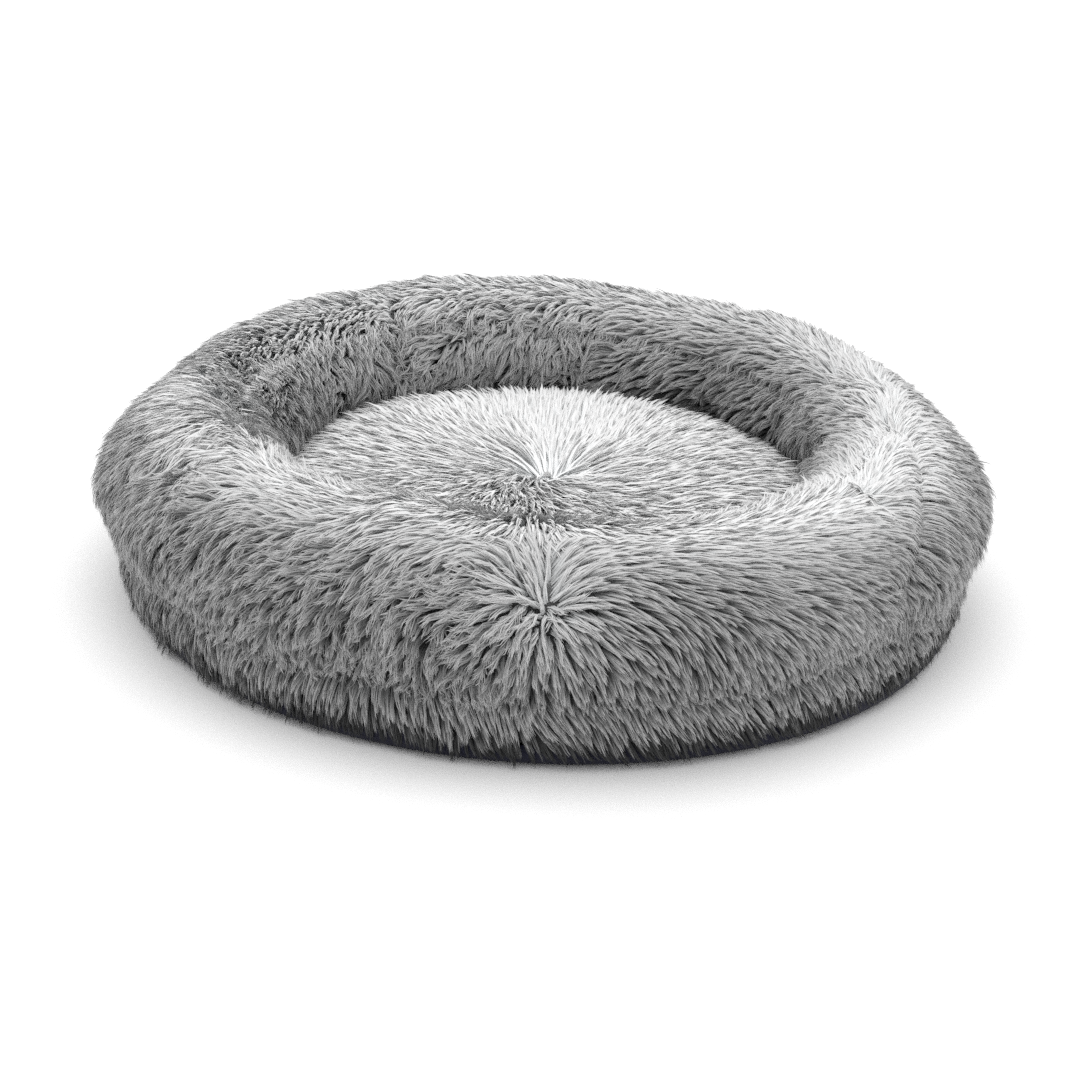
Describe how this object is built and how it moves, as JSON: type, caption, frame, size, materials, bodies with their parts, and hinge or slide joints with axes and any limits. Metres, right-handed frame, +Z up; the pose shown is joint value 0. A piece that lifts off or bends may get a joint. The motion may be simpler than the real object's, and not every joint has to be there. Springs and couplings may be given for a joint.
{
  "type": "pet cushion bed",
  "caption": "Round donut pet bed: a long-pile fur ring bolster on a low fur-sided mattress, around a domed nest cushion drawn in at its centre, with a dark cloth base and a rear zip.",
  "frame": {"origin": "centre of the underside, on the floor", "axes": "+Z is up, -Y is the front, +Y is the rear where the zip is"},
  "size_m": [0.7, 0.7, 0.165],
  "materials": {
    "fur": "matte",
    "lining": "matte",
    "fibre_fill": "matte",
    "cord": "matte",
    "base_cloth": "matte",
    "grip": "matte",
    "zip_tape": "matte",
    "zip_coil": "satin",
    "zip_metal": "satin",
    "label": "satin"
  },
  "bodies": {
    "bed": {"ring_panel_front_left": "fur", "ring_panel_front_right": "fur", "ring_panel_right": "fur", "ring_panel_back": "fur", "ring_panel_left": "fur", "ring_liner": "lining", "ring_fill": "fibre_fill", "nest_cover": "fur", "nest_liner": "lining", "nest_fill": "fibre_fill", "tuft_cord": "cord", "tuft_anchor_patch": "lining", "deck_lining": "lining", "side_band": "fur", "base_liner": "lining", "base_fill": "fibre_fill", "base_panel": "base_cloth", "grip_dots": "grip", "zip_tape_upper": "zip_tape", "zip_tape_lower": "zip_tape", "zip_coil_upper": "zip_coil", "zip_coil_lower": "zip_coil", "zip_top_stop": "zip_metal", "zip_bottom_stop": "zip_metal", "care_label": "label"},
    "slider": {"zip_slider": "zip_metal"},
    "pull": {"zip_pull": "zip_metal"}
  },
  "joints": [
    {"name": "zip_travel", "type": "hinge", "parent": "bed", "child": "slider", "pos_m": [0, 0, 0.025], "axis": [0, 0, -1], "range_deg": [0, 106]},
    {"name": "pull_swing", "type": "hinge", "parent": "slider", "child": "pull", "pos_m": [-0.26514, 0.19789, 0.025], "axis": [0, 0, 1], "range_deg": [0, 180]}
  ]
}
